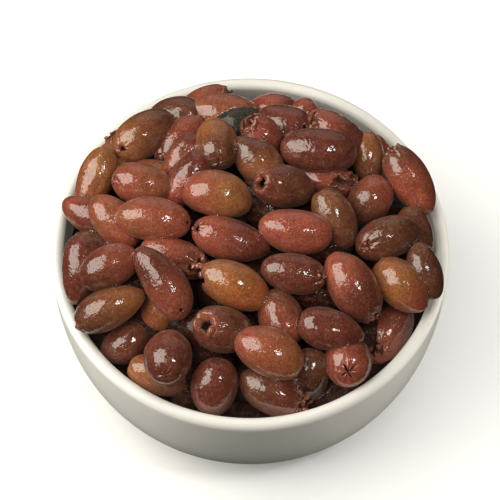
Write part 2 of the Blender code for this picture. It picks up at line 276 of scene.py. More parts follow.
def colour(name, hex_colour, description):
    return FloatVectorProperty(
        name=name, description=description, subtype="COLOR", size=3, min=0, max=1,
        default=linear(hex_colour)[:3],
    )


def power(name, default, description):
    return FloatProperty(
        name=name, description="Power of " + description, default=default, min=0, unit="POWER"
    )


class BowlSettings(bpy.types.PropertyGroup):
    glaze: colour("Glaze", "#D9D6CE", "The glossy cream glaze all over the bowl")
    clay: colour("Bare clay", "#B9A88C", "The unglazed ring that the bowl stands on")
    sides: IntProperty(
        name="Sides", description="Steps round the bowl", default=224, min=24, max=512
    )
    foot_recess: FloatProperty(
        name="Foot recess", description="How far the underside is hollowed inside the foot ring",
        default=0.9 * MM, min=0, max=2 * MM, unit="LENGTH",
    )


class OliveSettings(bpy.types.PropertyGroup):
    red: colour("Red-brown", "#974B3A", "Skin of the red-brown olives")
    orange: colour("Orange", "#A1552D", "Far end of a tan olive")
    russet: colour("Russet", "#95523A", "Far ends of some of the red-brown olives")
    tan: colour("Tan", "#995D38", "Skin of the tan olives")
    umber: colour("Umber", "#7C4D34", "Skin of an olive between tan and brown")
    brown: colour("Brown", "#673C2C", "Skin of the brown olives")
    wine: colour("Wine", "#693429", "Skin of the wine-red olives")
    # Painted shade: this near-black skin stands for the shade that the olives deep in the heap lie
    # in
    dark: colour("Dark", "#351913", "Skin of the olives deep in the heap")
    black: colour("Black", "#35312E", "Skin of the one black olive")
    flesh: colour("Flesh", "#8D4E3C", "Flesh inside the opened ends")
    # Painted shade: the near-black that the pits' holes darken to toward their bottoms
    pit_shade: colour("Hollow", "#20120E", "Brine-stained bottoms of the pits' holes")
    columns: IntProperty(
        name="Columns", description="Steps round each olive", default=76, min=12, max=160
    )
    rows: IntProperty(
        name="Rows", description="Steps along each olive's skin", default=48, min=8, max=120
    )
    seed: IntProperty(name="Seed", description="Seed of every olive's lumps and dents", default=7)


class BrineSettings(bpy.types.PropertyGroup):
    film: colour("Brine", "#F4E9DF", "The thin oily brine that clings between the olives")
    bead: FloatProperty(
        name="Bead", description="Radius of the brine that clings in a crease",
        default=0.55 * MM, min=0.1 * MM, max=1 * MM, unit="LENGTH",
    )


class StageSettings(bpy.types.PropertyGroup):
    floor: colour("Floor", "#F2F1EE", "The plain pale floor")
    softbox: power("Softbox", 6.9, "the large soft light at the left")
    lamp: power("Lamp", 1.2, "the small hard light beside the eye")
    back: power("Back light", 1.3, "the wide dim light behind")
    front: power("Front light", 3.4, "the wide dim light over the eye")
    left: power("Left bowl light", 21.4, "the low light that only the bowl takes from the left")
    top: power("Top bowl light", 5.2, "the light that only the bowl takes from above")
    inside: power("Inner bowl light", 0.035, "the light close over the heap, for the bowl alone")
    overhead: power("Floor light", 16.0, "the overhead light that only the floor takes")
    right: power("Right bowl light", 23.0, "the low light that only the bowl takes from the right")


def add_node(tree, kind, settings=None, inputs=None):
    """A new node with its own settings, and its inputs by name or number: values or sockets."""
    node = tree.nodes.new(kind)
    for name, value in (settings or {}).items():
        setattr(node, name, value)
    for name, value in (inputs or {}).items():
        if isinstance(value, bpy.types.NodeSocket):
            tree.links.new(value, node.inputs[name])
        else:
            node.inputs[name].default_value = value
    return node


def new_material(name):
    material = bpy.data.materials.new(name)
    material.use_nodes = True
    tree = material.node_tree
    tree.nodes.clear()
    return material, tree


def finish_material(tree, shader):
    add_node(tree, "ShaderNodeOutputMaterial", {}, {"Surface": shader.outputs[0]})


def brined_skin(name, wet):
    """Skin of a black olive cured in brine: thin, smooth and waxy, under a film of brine.

    To the eye that is a deep red-brown with cloudy lighter and darker places, fine pale pores,
    partly a painted glint of the brine beaded on them, faint lengthwise wrinkles, and a clear wet
    gloss whose edges the skin breaks up."""
    material, tree = new_material(name)
    tone = add_node(tree, "ShaderNodeAttribute", {"attribute_name": "tone"})
    place = add_node(tree, "ShaderNodeAttribute", {"attribute_name": "grain"}).outputs["Vector"]
    drawn = add_node(
        tree, "ShaderNodeVectorMath", {"operation": "MULTIPLY"}, {0: place, 1: (1.0, 1.0, 0.28)}
    )
    noise = {}
    for pattern, across, detail, roughness in (
        # lighter and darker clouds 5 mm wide, and a fine mottle in them
        ("cloud", 5.0 * MM, 3.0, 0.5),
        ("mottle", 0.8 * MM, 4.0, 0.7),
        # places that ripened less, and places with a bloom of wax
        ("unripe", 3.4 * MM, 5.0, 0.6),
        ("wax", 2.6 * MM, 5.0, 0.65),
        # wrinkles, drawn out along the olive
        ("wrinkle", 3.2 * MM, 1.0, 0.5),
        # the film of brine, which lies unevenly, in waves about 1 mm long
        ("wave", 1.6 * MM, 1.5, 0.5),
        # fine dimples, which fray the edges of what the film mirrors
        ("dimple", 0.5 * MM, 1.0, 0.5),
    ):
        noise[pattern] = add_node(tree, "ShaderNodeTexNoise", {}, {
            "Vector": drawn.outputs[0] if pattern == "wrinkle" else place,
            "Scale": 1 / across, "Detail": detail, "Roughness": roughness,
        }).outputs["Fac"]
    # Pores 0.35 mm wide, about 1.1 mm apart: real ones are finer, and would not show.  Their
    # paleness is partly a painted glint of the brine beads on them
    pore_and_glint = add_node(
        tree, "ShaderNodeTexVoronoi", {"feature": "F1"},
        {"Vector": place, "Scale": 1 / (1.15 * MM), "Randomness": 1.0},
    )
    # Wrinkles are thin lines, where their noise passes its middle value
    off_middle = add_node(
        tree, "ShaderNodeMath", {"operation": "SUBTRACT"}, {0: noise["wrinkle"], 1: 0.5}
    )
    off_middle = add_node(
        tree, "ShaderNodeMath", {"operation": "ABSOLUTE"}, {0: off_middle.outputs[0]}
    )
    level = {}
    for pattern, source, way, low, high, start, end in (
        ("cloud", noise["cloud"], "LINEAR", 0.3, 0.7, 0.82, 1.2),
        ("mottle", noise["mottle"], "LINEAR", 0.3, 0.7, 0.55, 1.42),
        ("unripe", noise["unripe"], "SMOOTHSTEP", 0.42, 0.66, 0.0, 0.45),
        ("wax", noise["wax"], "SMOOTHSTEP", 0.5, 0.7, 0.0, 0.25),
        ("pore_and_glint", pore_and_glint.outputs["Distance"], "SMOOTHSTEP", 0.1, 0.24, 0.3, 0.0),
        ("crease", off_middle.outputs[0], "SMOOTHSTEP", 0.0, 0.025, 0.0, 1.0),
        ("wrinkled", noise["cloud"], "SMOOTHSTEP", 0.5, 0.62, 0.0, 1.0),
    ):
        level[pattern] = add_node(
            tree, "ShaderNodeMapRange", {"interpolation_type": way},
            {"Value": source, "From Min": low, "From Max": high, "To Min": start, "To Max": end},
        ).outputs[0]
    shade = add_node(
        tree, "ShaderNodeMath", {"operation": "MULTIPLY"}, {0: level["cloud"], 1: level["mottle"]}
    )
    body = add_node(
        tree, "ShaderNodeVectorMath", {"operation": "SCALE"},
        {0: tone.outputs["Color"], "Scale": shade.outputs[0]},
    ).outputs[0]
    sallow = add_node(
        tree, "ShaderNodeVectorMath", {"operation": "MULTIPLY"}, {0: body, 1: (0.95, 1.35, 0.95)}
    )
    skin = body
    for pattern, over in (
        # less ripe, the red runs out into tan
        ("unripe", sallow.outputs[0]),
        # the wax is a grey-pink
        ("wax", linear("#96674F")),
        # paler on the pores: partly their colour, partly a painted glint of brine beads
        ("pore_and_glint", linear("#C08F72")),
    ):
        skin = add_node(
            tree, "ShaderNodeMix", {"data_type": "RGBA"}, {0: level[pattern], 6: skin, 7: over}
        ).outputs[2]
    # The skin is wrinkled only in some places
    crease = add_node(
        tree, "ShaderNodeMix", {"data_type": "FLOAT"},
        {0: level["wrinkled"], 2: 1.0, 3: level["crease"]},
    )
    below = {}
    for strength, height, source in (
        (1.0, 0.2 * MM, noise["wave"]),
        (0.6, 0.06 * MM, crease.outputs[0]),
        (1.0, 0.02 * MM, noise["dimple"]),
        # beads of brine stand on the pores
        (1.0, 0.25 * MM, level["pore_and_glint"]),
    ):
        relief = add_node(
            tree, "ShaderNodeBump", {},
            {"Strength": strength, "Distance": height, "Height": source, **below},
        )
        below = {"Normal": relief.outputs[0]}
    shader = add_node(tree, "ShaderNodeBsdfPrincipled", {}, {
        "Base Color": skin,
        "Roughness": 0.5,
        "IOR": 1.42,
        "Specular IOR Level": 0.1,
        "Sheen Weight": 0.2,
        "Sheen Roughness": 0.35,
        "Sheen Tint": linear("#E3C4B4"),
        "Coat Weight": wet,
        "Coat Roughness": 0.015,
        "Coat IOR": 1.8,
        "Normal": relief.outputs[0],
        "Coat Normal": relief.outputs[0],
    })
    finish_material(tree, shader)
    return material


def glazed_stoneware(settings):
    """Thrown stoneware under a thick cream glaze, bare where the foot ring was wiped.

    To the eye that is an even warm white with a soft broad gloss, the faintest waves
    from the throwing, and a rough tan ring underneath."""
    material, tree = new_material("glazed stoneware")
    place = add_node(tree, "ShaderNodeTexCoord").outputs["Object"]
    cloud = add_node(
        tree, "ShaderNodeTexNoise", {}, {"Vector": place, "Scale": 1 / (30 * MM), "Detail": 3.0}
    )
    tint = add_node(
        tree, "ShaderNodeMix", {"data_type": "RGBA"},
        {0: cloud.outputs["Fac"], 6: linear("#D2CFC5"), 7: [*settings.glaze, 1.0]},
    )
    speck = add_node(
        tree, "ShaderNodeTexVoronoi", {"feature": "F1"}, {"Vector": place, "Scale": 1 / (9 * MM)}
    )
    # Iron specks under the glaze, 0.4 mm wide and few
    dot = add_node(
        tree, "ShaderNodeMapRange", {"interpolation_type": "SMOOTHSTEP"},
        {"Value": speck.outputs["Distance"], "From Min": 0.02, "From Max": 0.04,
         "To Min": 0.25, "To Max": 0.0},
    )
    glaze = add_node(
        tree, "ShaderNodeMix", {"data_type": "RGBA"},
        {0: dot.outputs[0], 6: tint.outputs[2], 7: linear("#9A8B74")},
    )
    bare = add_node(tree, "ShaderNodeAttribute", {"attribute_name": "bare"})
    base = add_node(
        tree, "ShaderNodeMix", {"data_type": "RGBA"},
        {0: bare.outputs["Fac"], 6: glaze.outputs[2], 7: [*settings.clay, 1.0]},
    )
    rough = add_node(
        tree, "ShaderNodeMapRange", {},
        {"Value": bare.outputs["Fac"], "To Min": 0.33, "To Max": 0.85},
    )
    wave = add_node(
        tree, "ShaderNodeTexNoise", {}, {"Vector": place, "Scale": 1 / (14 * MM), "Detail": 1.0}
    )
    bump = add_node(
        tree, "ShaderNodeBump", {},
        {"Strength": 0.6, "Distance": 0.25 * MM, "Height": wave.outputs["Fac"]},
    )
    shader = add_node(tree, "ShaderNodeBsdfPrincipled", {}, {
        "Base Color": base.outputs[2],
        "Roughness": rough.outputs[0],
        "IOR": 1.5,
        "Specular IOR Level": 0.35,
        "Coat Weight": 0.2,
        "Coat Roughness": 0.12,
        "Normal": bump.outputs[0],
    })
    finish_material(tree, shader)
    return material


def brine_film(settings):
    """Brine with a little olive oil in it: clear, faintly warm, and as glossy as water."""
    material, tree = new_material("oily brine")
    shader = add_node(tree, "ShaderNodeBsdfPrincipled", {}, {
        "Base Color": [*settings.film, 1.0],
        "Roughness": 0.03,
        "IOR": 1.47,
        "Transmission Weight": 1.0,
    })
    finish_material(tree, shader)
    return material


def painted_shade_depths():
    """The bed olives and the core at the bottom of the heap: wet, and nearly black, which is a
    painted shade.
    """
    material, tree = new_material("olives deep in brine")
    place = add_node(tree, "ShaderNodeTexCoord").outputs["Object"]
    cloud = add_node(
        tree, "ShaderNodeTexNoise", {}, {"Vector": place, "Scale": 1 / (4 * MM), "Detail": 4.0}
    )
    # Painted shade: near-black browns for all that lies deep under the heap
    tint = add_node(
        tree, "ShaderNodeMix", {"data_type": "RGBA"},
        {0: cloud.outputs["Fac"], 6: linear("#1F1311"), 7: linear("#452A22")},
    )
    bump = add_node(
        tree, "ShaderNodeBump", {},
        {"Strength": 1.0, "Distance": 2.0 * MM, "Height": cloud.outputs["Fac"]},
    )
    shader = add_node(tree, "ShaderNodeBsdfPrincipled", {}, {
        "Base Color": tint.outputs[2],
        "Roughness": 0.12,
        "IOR": 1.36,
        "Specular IOR Level": 0.25,
        "Normal": bump.outputs[0],
    })
    finish_material(tree, shader)
    return material


def matte_floor(settings):
    """Painted board: even, pale and matte."""
    material, tree = new_material("pale matte floor")
    shader = add_node(tree, "ShaderNodeBsdfPrincipled", {}, {
        "Base Color": [*settings.floor, 1.0],
        "Roughness": 0.9,
        "Specular IOR Level": 0.1,
    })
    finish_material(tree, shader)
    return material


def wall_line(inward, steps):
    """Radii and heights of the wall, from the rim down, moved inward from its outer face.

    The outer face is a superellipse from the rim to the flat floor, and a point moves
    inward along the face's normal.  Heights are measured from the rim."""
    t = np.linspace(0, np.pi / 2, steps)
    out = np.cos(t) ** (2 / WALL_POWER)
    down = np.sin(t) ** (2 / WALL_POWER)
    reach = RIM_RADIUS - FLOOR_RADIUS
    normal = np.stack([out ** (WALL_POWER - 1) / reach, down ** (WALL_POWER - 1) / BODY_DEPTH])
    normal /= np.hypot(*normal)
    radius = FLOOR_RADIUS + reach * out - inward * normal[0]
    height = -BODY_DEPTH * down + inward * normal[1]
    in_lip = height > -WALL / 2
    radius, height = radius[~in_lip], height[~in_lip]
    return np.append(RIM_RADIUS - inward, radius), np.append(-WALL / 2, height)


def lip(steps):
    """The half circle over the wall's top edge, from its inner side to its outer side."""
    t = np.linspace(np.pi, 0, steps + 2)[1:-1]
    half = WALL / 2
    return RIM_RADIUS - half + half * np.cos(t), half * np.sin(t) - half


def dome_along(points, sight):
    """How far each point moves along its sight line to reach the dome of olive middles."""
    away = points - np.array([0, 0, DOME_TOP - DOME_RADIUS])
    along = (away * sight).sum(1)
    return -along + np.sqrt(DOME_RADIUS**2 - (away**2).sum(1) + along**2)


def short_of_wall(beads, radii, wall):
    """How far each olive's worst bead is inside the bowl's wall, and which way is out.

    The last value says which olives lie in front, where the wall pushes them down."""
    r = np.hypot(beads[..., 0], beads[..., 1])
    out = r[..., None] - wall[0]
    rise = beads[..., 2, None] - wall[1]
    nearest = np.hypot(out, rise).argmin(-1)[..., None]
    out, rise = (np.take_along_axis(x, nearest, -1)[..., 0] for x in (out, rise))
    gap = np.hypot(out, rise)
    worst = (radii - gap).argmax(1)
    row = np.arange(len(beads))
    out, rise, gap, r = out[row, worst], rise[row, worst], gap[row, worst], r[row, worst]
    bead = beads[row, worst]
    short = np.maximum(radii[row, worst] + WALL / 2 + CLEARANCE - gap, 0)
    away = np.stack([bead[:, 0] / r * out, bead[:, 1] / r * out, rise], -1) / gap[:, None]
    return short, away, bead[:, 1] < FRONT * RIM_RADIUS


def contacts(beads, radii):
    """For each pair of olives, how deep their closest beads overlap, and how steeply they lie."""
    count = len(beads)
    points = beads.reshape(-1, 3)
    spread = points[None] - points[:, None]
    apart = np.sqrt((spread**2).sum(-1)) + 1e-9
    sizes = radii.reshape(-1)
    overlap = CLOSENESS * (sizes[:, None] + sizes[None]) - apart
    slope = spread @ TOWARD / apart
    shape = (count, BEADS, count, BEADS)
    overlap, slope = (
        x.reshape(shape).transpose(0, 2, 1, 3).reshape(count, count, -1) for x in (overlap, slope)
    )
    deepest = overlap.argmax(-1)[..., None]
    overlap, slope = (np.take_along_axis(x, deepest, -1)[..., 0] for x in (overlap, slope))
    above = np.triu(np.ones((count, count)), 1) > 0
    return np.where(above & (overlap > 0), overlap * np.maximum(slope, LEAST_SLOPE), 0)


def settled(olives):
    """Beads and their radii, long axes, lengths and widths of the olives, once they lie.

    Each olive is a row of beads on a long axis, at its place in the layout.  It may only
    slide along its sight line, growing and shrinking so that it covers the same part of
    the view.  In each round, olives that overlap push each other apart, the later one
    toward the eye, all are drawn a little to the dome, and the bowl pushes back what
    is in its wall: in front it sinks, and elsewhere it rises and leans on the lip."""
    table = np.array([olive[:6] for olive in olives], float)
    across, up, length, width = (table[:, [0, 1, 4, 5]] * MM).T
    turn, nod = np.radians(table[:, 2:4]).T
    points = (across + LAYOUT_ZERO[0])[:, None] * ACROSS + (up + LAYOUT_ZERO[1])[:, None] * UP
    axis = (
        (np.cos(nod) * np.cos(turn))[:, None] * ACROSS
        + (np.cos(nod) * np.sin(turn))[:, None] * UP
        + np.sin(nod)[:, None] * TOWARD
    )
    focus = (length**2 - width**2) / 4
    along = np.linspace(-1, 1, BEADS) * (focus / (length / 2))[:, None]
    bead_size = width[:, None] / 2 * np.sqrt(1 - along**2 / focus[:, None])
    eye = SIGHT_RANGE * TOWARD
    sight = eye - points
    sight /= np.linalg.norm(sight, axis=1, keepdims=True)
    wall = wall_line(WALL / 2, 60)
    home = dome_along(points, sight)
    slid = home + SPREAD * np.linspace(-1, 1, len(table))
    for _ in range(ROUNDS):
        near = 1 - slid[:, None] / SIGHT_RANGE
        beads = eye + near[..., None] * (
            points[:, None] - eye + along[..., None] * axis[:, None]
        )
        short, away, in_front = short_of_wall(beads, near * bead_size, wall)
        beads = beads + (short[:, None] * away)[:, None]
        sink = 2 * np.minimum((away * sight).sum(1), 0)
        push = contacts(beads, near * bead_size)
        slid = slid + PUSH * (push.sum(0) - push.sum(1)) + PULL * (home - slid)
        slid = slid + WALL_PUSH * short * np.where(in_front, sink, 1)
    beads = beads + np.array([0, 0, RIM_HEIGHT])
    return beads, near * bead_size, axis, near[:, 0] * length, near[:, 0] * width


def bed():
    """Olives laid out as sunflower seeds under the dome, each turned by the golden angle."""
    i = np.arange(BED_COUNT)
    r = BED_RADIUS * np.sqrt((i + 0.5) / BED_COUNT)
    turn = i * GOLDEN_ANGLE
    top = RIM_HEIGHT + DOME_TOP - DOME_RADIUS - BED_DROP
    height = top + np.sqrt(DOME_RADIUS**2 - r**2)
    middle = np.stack([r * np.cos(turn), r * np.sin(turn), height], -1)
    axis = np.stack([-np.sin(turn), np.cos(turn), 0 * turn], -1)
    return middle, axis, np.full(BED_COUNT, BED_LENGTH), np.full(BED_COUNT, BED_WIDTH)


def unit(vectors):
    return vectors / np.linalg.norm(vectors, axis=-1, keepdims=True)


def smooth(x):
    """0 below 0 and 1 above 1, with a smooth step between."""
    x = np.clip(x, 0, 1)
    return x * x * (3 - 2 * x)


def waves(directions, rng, count, slowest, fastest):
    """A smooth random field on the sphere: a sum of plane waves over the direction.

    One row of waves is drawn for each olive, and faster waves are weaker."""
    shape = (len(directions), count)
    pace = rng.uniform(slowest, fastest, shape)
    course = unit(rng.normal(size=(*shape, 3))) * pace[..., None]
    phase = rng.uniform(0, 2 * np.pi, shape)
    turned = np.einsum("nrci,nki->nrck", directions, course) + phase[:, None, None]
    return (np.sin(turned) * (slowest / pace)[:, None, None]).sum(-1) / np.sqrt(count)


def olive_surface(
    axis, middle, length, width, opening, size, lean, tip, taper, rows, columns, rng
):
    """Grids of points over many olives, one ring of columns after another along each.

    A ring lies at one angle from the pitted pole, which leans from the long axis toward
    the eye.  The direction it gives is stretched to an ellipsoid that is wider at its
    pitted end and drawn out to a tip at the other.  Slow waves and a few round dents
    then move each point along the normal.  Round the opening, the angle is changed by
    the opening's outline: a circle, a cross or a ragged tear.  The last rings go on from
    its edge into the pit and close at its bottom, or close over it as a plug of skin.
    A hole is a funnel that runs a little aside into the fruit."""
    count = len(axis)
    facing = unit(TOWARD - (axis @ TOWARD)[:, None] * axis)
    beside = np.cross(axis, facing)
    half_long = (length / 2)[:, None, None]
    half_wide = (width / 2)[:, None, None]
    size, tip, taper = size[:, None, None], tip[:, None, None], taper[:, None, None]
    looks = np.array([OPENINGS[name] for name in opening], float).T[..., None, None]
    frayed, crossed, pit_depth, fleshy, torn, gathered, sunk = looks
    plugged, holed = (np.array(opening)[:, None, None] == name for name in ("ring", "hole"))
    around = np.linspace(0, 2 * np.pi, columns, endpoint=False)[None, None, :]
    edge = np.arcsin(np.clip(size / half_wide, 0.02, 0.8))
    step = np.linspace(0, 1, rows)[None, :, None]
    angle = edge + (np.pi - edge) * (1 - step[:, 1:]) ** 1.15
    near_edge = np.exp(-(((angle - edge) / (0.9 * edge + 0.05)) ** 2))

    phase = rng.uniform(0, 2 * np.pi, (5, count, 1, 1))
    ragged = FRAY * sum(
        np.sin(k * around + phase[i]) / (k**0.6) for i, k in enumerate((1, 2, 3, 7, 12))
    )
    cross = 1.6 * np.abs(np.cos(2 * around + phase[0] + 0.5 * ragged)) ** 9 - 0.75
    polar = angle * (1 + near_edge * (crossed * cross + frayed * ragged))
    spin = around + 0 * polar
    x, y, z = np.sin(polar) * np.cos(spin), np.sin(polar) * np.sin(spin), np.cos(polar)
    tilt = np.radians(lean)[:, None, None]
    direction = np.stack([
        np.cos(tilt) * x + np.sin(tilt) * z, y, np.cos(tilt) * z - np.sin(tilt) * x
    ], -1)

    dx, dy, dz = np.moveaxis(direction, -1, 0)
    # Blunter than an ellipsoid toward both ends, and wider at the pitted one
    fuller = (1 + taper * dz) * (dx**2 + dy**2 + 0.001) ** -0.04
    drawn = np.exp(-(1 + dz) / 0.08)
    place = np.stack([
        half_wide * fuller * dx,
        half_wide * fuller * dy,
        (half_long - tip / 2) * dz + tip / 2 - tip * drawn,
    ], -1)
    bent = rng.normal(0, BEND, (count, 1, 1, 2))
    place[..., :2] += bent * (dz**2 - 0.4)[..., None]
    normal = unit(np.stack([dx / half_wide, dy / half_wide, dz / half_long], -1))

    relief = sum(
        height * waves(direction, rng, number, slowest, fastest)
        for number, slowest, fastest, height in LUMPS
    )
    for _ in range(DENTS):
        centre = unit(rng.normal(size=(count, 1, 1, 3)) * (1, 1, 0.8))
        reach = rng.uniform(*DENT_REACH, (count, 1, 1))
        depth = rng.uniform(*DENT_DEPTH, (count, 1, 1)) * MM
        relief -= depth * np.exp(-((direction - centre) ** 2).sum(-1) / reach**2)
    relief -= relief.mean((1, 2), keepdims=True)
    # Fine folds run in to both ends, and gathers, rips and a sunk edge lie round the opening
    puckered = np.exp(-(1 - np.abs(dz)) / 0.07)
    relief -= PUCKER * puckered * np.abs(np.sin(3.5 * spin + phase[3] + 2 * dz))
    ripped = np.sin(2 * spin + phase[1]) * np.sin(3 * spin + phase[2])
    relief += TORN_RELIEF * torn * near_edge * ripped
    close_by = np.exp(-((angle - edge) / (1.2 * edge + 0.12)) ** 2)
    folds = np.sin(7 * spin + phase[4]) * np.sin(4 * spin - phase[2])
    relief += gathered * MM * close_by * folds
    relief -= sunk * MM * near_edge
    place = place + relief[..., None] * normal

    # The rings inside the opening widen a little under its edge, then close.  Those of a
    # hole narrow at once, and those of a plug follow the skin.
    edge_ring = place[:, -1:]
    heart = edge_ring.mean(2, keepdims=True)
    inward = -unit(np.stack([
        np.sin(tilt) / half_wide, 0 * tilt, np.cos(tilt) / half_long
    ], -1))
    deep = np.linspace(0, 1, PIT_RINGS + 1)[None, 1:, None]
    closing = np.sqrt(1 - NEARLY_SHUT * deep**4)
    widening = np.where(holed, 1 - FUNNEL * smooth(deep / 0.5), 1 + 0.12 * np.sin(np.pi * deep))
    width_there = np.where(plugged, 1 - NEARLY_SHUT * deep, widening * closing)
    depth = pit_depth * size * deep * np.where(holed, deep**0.6, 1)
    shreds = np.sin(3 * around + 5 * deep + phase[1]) * np.sin(2 * around - 9 * deep + phase[2])
    depth = depth * (1 + 0.5 * torn * shreds)
    bulge = size**2 / (2 * half_wide) * (1 - width_there**2)
    groove = GROOVE * np.exp(-((deep / 0.2) ** 2))
    depth = depth + np.where(plugged, groove - bulge, 0)
    width_there = width_there * (1 + 0.16 * torn * shreds)
    inside = heart + (edge_ring - heart) * width_there[..., None] + inward * depth[..., None]
    aside = ASIDE * size * smooth(deep / 0.5) * holed
    inside[..., 0] += aside * np.sin(phase[4])
    inside[..., 1] += aside * np.cos(phase[4])
    grid = np.concatenate([place, inside], 1)
    poles = np.stack([place[:, 0].mean(1), inside[:, -1].mean(1)], 1)
    local = np.concatenate([grid.reshape(count, -1, 3), poles], 1)
    along = np.concatenate([dz, 0 * inside[..., 0] + np.cos(tilt)], 1).reshape(count, -1)
    along = np.concatenate([along, np.full((count, 1), -1.0), np.ones((count, 1))], 1)
    # From 0 on the skin to 1 at the bottom of the pit, for its colours: flesh on its walls,
    # darkening with depth to a painted shade
    shaded = np.where(holed, smooth((deep - 0.3) / 0.45), deep**0.7)
    pit = np.concatenate([
        fleshy * smooth((near_edge - 0.8) / 0.2) * 0.5 + 0 * dz,
        fleshy * (0.6 + 0.4 * shaded) + 0 * inside[..., 0],
    ], 1).reshape(count, -1)
    pit = np.concatenate([pit, np.zeros((count, 1)), fleshy[:, 0]], 1)
    frame = np.stack([facing, beside, axis], 1)
    world = np.einsum("nvi,nij->nvj", local, frame) + middle[:, None]
    return world, local, along, pit


def ring_faces(count, rows, columns):
    """Faces over rings of one size, with a fan at each end, for count bodies in turn.

    Each body has rows times columns vertices and then its two poles."""
    ring = np.arange(rows - 1)[:, None] * columns
    here = np.arange(columns)[None]
    following = (here + 1) % columns
    quads = np.stack([
        ring + here, ring + following, ring + columns + following, ring + columns + here
    ], -1).reshape(-1, 4)
    here, following = here[0], following[0]
    low, high = rows * columns, rows * columns + 1
    last = (rows - 1) * columns
    fans = np.concatenate([
        np.stack([following, here, np.full(columns, low)], -1),
        np.stack([last + here, last + following, np.full(columns, high)], -1),
    ])
    offset = (np.arange(count) * (rows * columns + 2))[:, None, None]
    return (quads + offset).reshape(-1, 4), (fans + offset).reshape(-1, 3)


def turned(radius, height, turn):
    """Points and faces of a profile carried round the upright axis.

    Each of its points becomes a ring at that height, with one vertex at each angle of
    turn, and the first and the last ring are closed by a fan.  The radius may differ
    round a ring.  A turn that runs backward turns the faces the other way."""
    grid = np.stack([
        radius * np.cos(turn), radius * np.sin(turn), height[:, None] + 0 * turn
    ], -1)
    ends = np.array([[0, 0, height[0]], [0, 0, height[-1]]])
    points = np.concatenate([grid.reshape(-1, 3), ends])
    return points, *ring_faces(1, len(height), turn.size)


def new_piece(name, points, quads, fans, material, slot, replaced):
    """A smooth mesh at the origin from whole arrays, riding on the dish's one body."""
    mesh = bpy.data.meshes.new(name)
    corners = np.concatenate([quads.reshape(-1), fans.reshape(-1)])
    starts = np.concatenate([
        np.arange(len(quads)) * 4, len(quads) * 4 + np.arange(len(fans)) * 3
    ])
    mesh.vertices.add(len(points))
    mesh.vertices.foreach_set("co", np.ascontiguousarray(points, np.float32).ravel())
    mesh.loops.add(len(corners))
    mesh.loops.foreach_set("vertex_index", corners.astype(np.int32))
    mesh.polygons.add(len(starts))
    mesh.polygons.foreach_set("loop_start", starts.astype(np.int32))
    mesh.update(calc_edges=True)
    mesh.validate()
    mesh.shade_smooth()
    mesh.materials.append(material)
    piece = bpy.data.objects.new(name, mesh)
    bpy.context.scene.collection.objects.link(piece)
    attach(piece, "root")
    if replaced:
        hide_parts(replaced)
    return piece


def write_attribute(piece, name, kind, values):
    field = {"FLOAT_COLOR": "color", "FLOAT_VECTOR": "vector", "FLOAT": "value"}[kind]
    layer = piece.data.attributes.new(name, kind, "POINT")
    layer.data.foreach_set(field, np.ascontiguousarray(values, np.float32).ravel())


def skin_colours(tones, far_tones, along, pit, local, settings, rng):
    """One colour for each point: the near tone runs into the far one along the olive.

    A slow wave shifts where they meet.  The pit's walls take the colour of flesh, and toward its
    bottom they darken to a painted shade."""
    palette = {name: np.array(getattr(settings, name)) for name in (*PIECE_OF_TONE, "flesh")}
    near = np.array([palette[name] for name in tones])[:, None]
    far = np.array([palette[name] for name in far_tones])[:, None]
    count = len(near)
    centre = rng.uniform(-0.4, 0.4, (count, 1))
    drift = waves(unit(local)[:, :, None], rng, 4, 1.0, 3.0)[..., 0]
    share = smooth(0.5 - (along - centre) * 0.7 + 0.35 * drift)[..., None]
    tint = near * (1 - share) + far * share
    tint = tint * rng.uniform(0.94, 1.06, (count, 1, 1)) * rng.uniform(0.98, 1.03, (count, 1, 3))
    pit = pit[..., None]
    # The pits darken with depth from flesh to a painted shade
    flesh, pit_shade = np.array(settings.flesh), np.array(settings.pit_shade)
    inner = flesh + (pit_shade - flesh) * smooth((pit - 0.62) / 0.3)
    tint = tint + (inner - tint) * np.minimum(pit / 0.6, 1)
    return np.concatenate([tint, np.ones((*tint.shape[:2], 1))], -1)


def torn_flesh(edges, outward, size, skin, settings):
    """Shreds of flesh on the edges of the torn and open ends.

    Each is a small lumpy olive shape at a random place on an edge, and lies along the
    edge, turned partly outward and across it."""
    rng = np.random.default_rng(settings.seed + 2)
    count, columns = edges.shape[:2]
    row = np.arange(count)
    place = rng.integers(0, columns, count)
    spot = edges[row, place]
    heart = edges.mean(1)
    outward = unit(outward)
    run = unit(edges[row, (place + 2) % columns] - edges[row, place - 2])
    across = unit(heart - spot)
    mix = rng.uniform((0.4, -0.2, -0.2), (1.0, 0.9, 0.9), (count, 3))
    axis = unit(mix[:, :1] * run + mix[:, 1:2] * across + mix[:, 2:] * outward)
    length = size * rng.uniform(0.7, 1.3, count) + 0.6 * MM
    width = length * rng.uniform(0.4, 0.6, count)
    middle = spot + across * (0.25 * size)[:, None] + outward * (0.05 * size)[:, None]
    world, local, along, pit = olive_surface(
        axis, middle, length, width, ["shut"] * count, 0.1 * width, np.zeros(count),
        0.1 * length, np.zeros(count), SHRED_ROWS, SHRED_COLUMNS, rng,
    )
    flesh = ["flesh"] * count
    tints = skin_colours(flesh, flesh, along, 0 * pit, local, settings, rng)
    tints[..., :3] *= rng.uniform(0.55, 1.25, (count, 1, 1))
    quads, fans = ring_faces(count, SHRED_ROWS - 1 + PIT_RINGS, SHRED_COLUMNS)
    piece = new_piece(
        "torn_flesh", world.reshape(-1, 3), quads, fans, skin, "olive_skin", "olives"
    )
    write_attribute(piece, "tone", "FLOAT_COLOR", tints)
    write_attribute(piece, "grain", "FLOAT_VECTOR", local + row[:, None, None] * 7 * MM)


